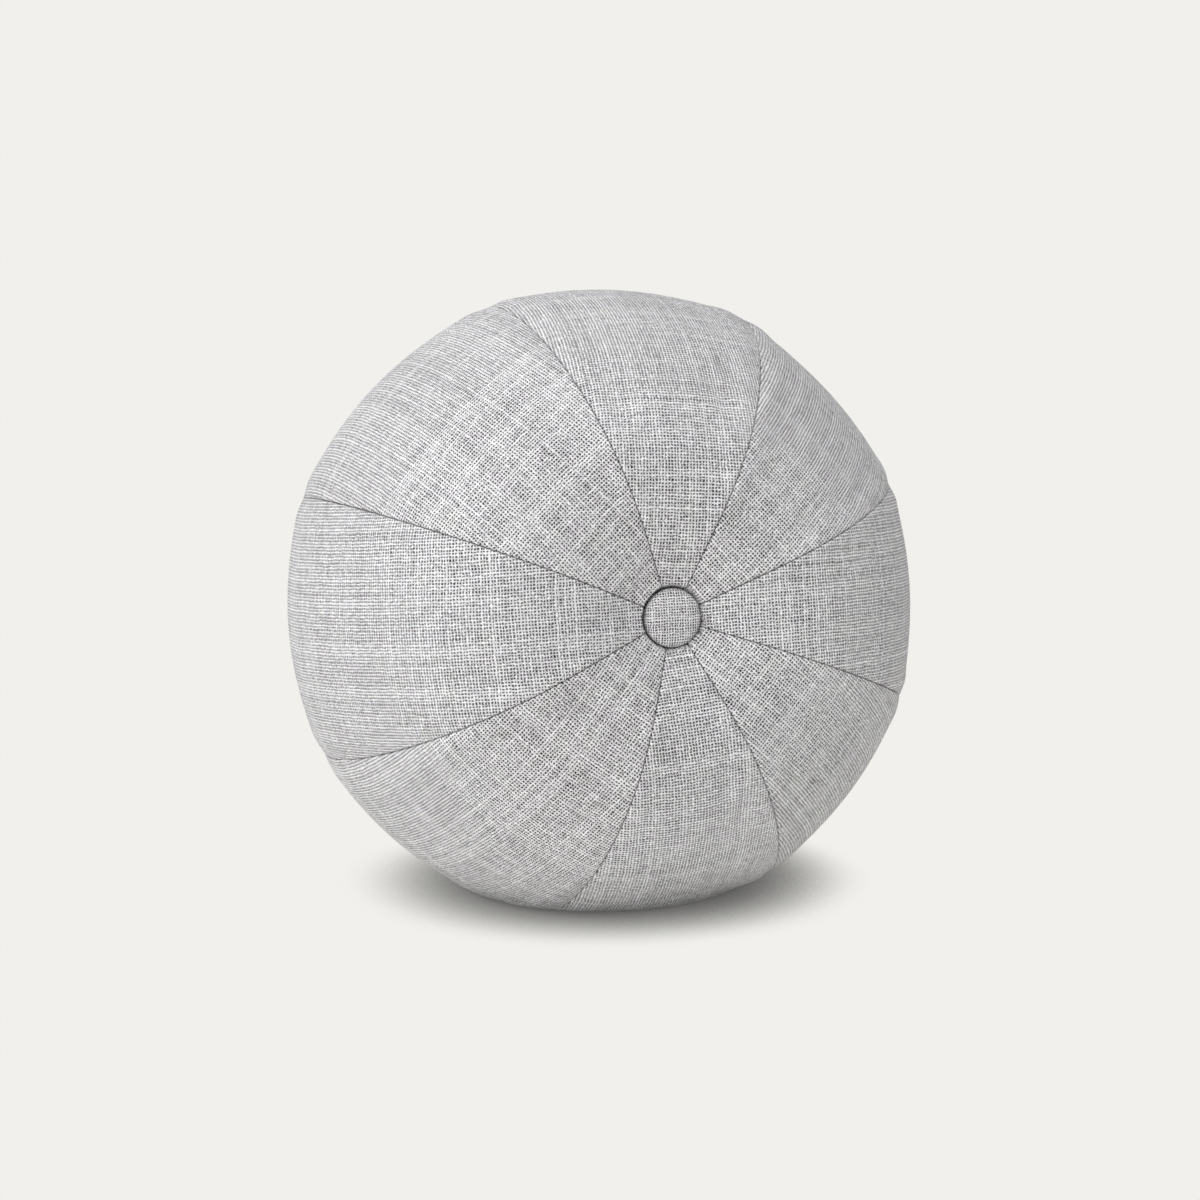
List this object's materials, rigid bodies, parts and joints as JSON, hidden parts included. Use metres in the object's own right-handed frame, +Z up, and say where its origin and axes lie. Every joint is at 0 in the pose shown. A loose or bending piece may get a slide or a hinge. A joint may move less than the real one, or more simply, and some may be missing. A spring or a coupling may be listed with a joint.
{
  "type": "ball cushion",
  "caption": "Round stuffed ball cushion of sewn cloth gores, tufted through both poles with cloth-covered buttons, for a sofa, bed or floor.",
  "frame": {"origin": "centre of the flat spot that the ball rests on", "axes": "+Z up from the floor. The line through the two buttons runs nearly level, along Y, and the front button looks along -Y, tipped 7 degrees up. +X is to the right as seen from the front"},
  "size_m": [0.2973, 0.2562, 0.284],
  "materials": {
    "woven_cloth": "plain weave of slubby white and mid-grey yarns, matt",
    "button_cloth": "the same plain weave drawn tight over a button shell, matt",
    "stuffing": "polyester fibre filling, hidden under the cloth"
  },
  "bodies": {
    "root": {"stuffed_ball": "stuffing", "gore_1": "woven_cloth", "gore_2": "woven_cloth", "gore_3": "woven_cloth", "gore_4": "woven_cloth", "gore_5": "woven_cloth", "gore_6": "woven_cloth", "gore_7": "woven_cloth", "gore_8": "woven_cloth", "front_button": "button_cloth", "back_button": "button_cloth"}
  },
  "joints": []
}
